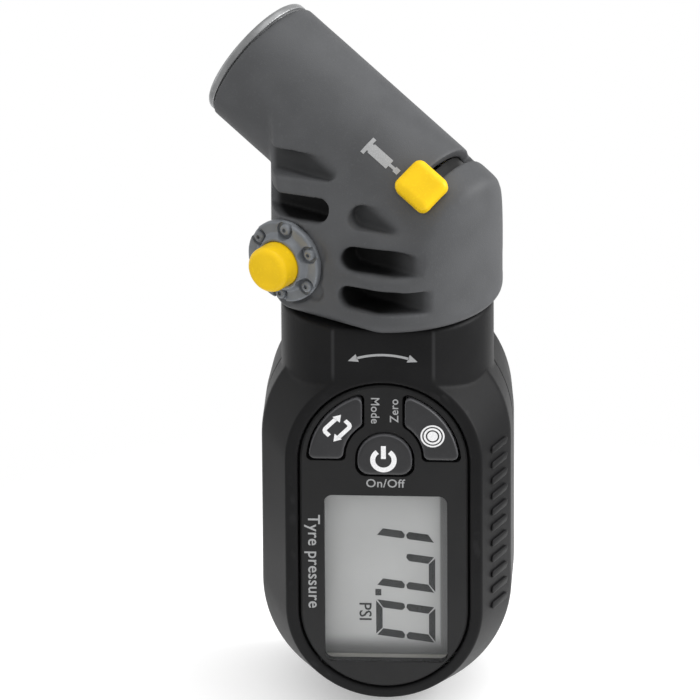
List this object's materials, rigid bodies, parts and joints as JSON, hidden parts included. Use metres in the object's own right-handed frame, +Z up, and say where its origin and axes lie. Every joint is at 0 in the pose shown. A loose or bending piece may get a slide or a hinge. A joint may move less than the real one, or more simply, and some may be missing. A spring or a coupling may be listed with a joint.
{
  "type": "digital tyre pressure gauge",
  "caption": "Hand-held digital tyre pressure gauge: black display housing with keys under a grey elbow head that turns, with a valve chuck, a selector slider and a release button.",
  "frame": {"origin": "centre of the valve socket, where its straight wall begins at the mouth", "axes": "+Z up the housing along the swivel axis, -Y the way the display faces, +X to the right as seen by a reader of the display"},
  "size_m": [0.0437, 0.0371, 0.1003],
  "materials": {
    "head_grey": "fine moulded texture",
    "ring_metal": "satin",
    "seal_rubber": "matt",
    "core_brass": "machined",
    "disc_metal": "satin grey",
    "screw_steel": "machined",
    "button_yellow": "satin",
    "spring_steel": "bright",
    "inner_plastic": "natural",
    "washer_plastic": "low friction",
    "housing_black": "satin",
    "panel_black": "fine texture",
    "key_black": "satin",
    "lens_clear": "clear",
    "lcd_grey": "polarised display glass",
    "zebra_rubber": "matt",
    "board_green": "solder mask",
    "component_black": "moulded",
    "sensor_metal": "tinned",
    "cell_steel": "bright",
    "contact_metal": "plated"
  },
  "bodies": {
    "head": {"head_shell": "head_grey", "head_base": "head_grey", "head_base_screws": "screw_steel", "head_core": "core_brass", "swivel_stem": "core_brass", "swivel_seals": "seal_rubber", "swivel_clip": "screw_steel", "release_disc": "disc_metal", "release_screws": "disc_metal", "release_spring": "spring_steel", "chuck_end_ring": "ring_metal", "chuck_seal": "seal_rubber", "pin_spring": "spring_steel"},
    "housing": {"front_housing": "housing_black", "rear_housing": "housing_black", "housing_gasket": "seal_rubber", "housing_screws": "screw_steel", "display_panel": "panel_black", "display_lens": "lens_clear", "lcd_glass": "lcd_grey", "lcd_frame": "inner_plastic", "zebra_strip": "zebra_rubber", "circuit_board": "board_green", "circuit_components": "component_black", "key_switches": "component_black", "pressure_sensor": "sensor_metal", "sensor_seal": "seal_rubber", "air_manifold": "inner_plastic", "battery_cell": "cell_steel", "battery_contact_positive": "contact_metal", "battery_contact_negative": "contact_metal", "swivel_washer": "washer_plastic"},
    "power_key": {"power_key": "key_black"},
    "unit_key": {"unit_key": "key_black"},
    "tune_key": {"tune_key": "key_black"},
    "battery_door": {"battery_door": "housing_black", "battery_door_seal": "seal_rubber"},
    "release_button": {"release_button": "button_yellow", "release_stem": "core_brass", "release_seal": "seal_rubber"},
    "seal_clamp": {"seal_clamp": "inner_plastic"},
    "selector": {"selector_cam": "washer_plastic", "selector_slider": "button_yellow"},
    "depressor_pin": {"depressor_pin": "core_brass"}
  },
  "joints": [
    {"name": "head_swivel", "type": "hinge", "parent": "head", "child": "housing", "pos_m": [0.01835, -0.01165, -0.03075], "axis": [0, 0, 1], "range_deg": [-32.4, 147.6]},
    {"name": "selector_turn", "type": "hinge", "parent": "head", "child": "selector", "pos_m": [0.01835, -0.01165, -0.01205], "axis": [-0.7385, 0.4686, 0.4848], "range_deg": [0, 83.8]},
    {"name": "clamp_slide", "type": "slide", "parent": "head", "child": "seal_clamp", "axis": [-0.7385, 0.4686, 0.4848], "range_m": [-0.001, 0]},
    {"name": "pin_slide", "type": "slide", "parent": "head", "child": "depressor_pin", "axis": [0.7385, -0.4686, -0.4848], "range_m": [0, 0.0015], "stiffness_N_per_m": 300, "springref_m": -0.002, "deforming": ["pin_spring"]},
    {"name": "release_press", "type": "slide", "parent": "head", "child": "release_button", "axis": [0.5358, 0.8443, 0], "range_m": [0, 0.0015], "stiffness_N_per_m": 600, "springref_m": -0.002, "deforming": ["release_spring"]},
    {"name": "power_key_press", "type": "slide", "parent": "housing", "child": "power_key", "axis": [0, 1, 0], "range_m": [0, 0.0005], "stiffness_N_per_m": 1500, "springref_m": -0.0005},
    {"name": "unit_key_press", "type": "slide", "parent": "housing", "child": "unit_key", "axis": [0, 1, 0], "range_m": [0, 0.0005], "stiffness_N_per_m": 1500, "springref_m": -0.0005},
    {"name": "tune_key_press", "type": "slide", "parent": "housing", "child": "tune_key", "axis": [0, 1, 0], "range_m": [0, 0.0005], "stiffness_N_per_m": 1500, "springref_m": -0.0005},
    {"name": "battery_door_turn", "type": "hinge", "parent": "housing", "child": "battery_door", "pos_m": [0.01835, 0.00085, -0.06875], "axis": [0, 1, 0], "range_deg": [0, 45]}
  ],
  "couplings": [
    {"joint": "selector_turn", "follows": "clamp_slide", "rad_per_m": -1462.6}
  ]
}
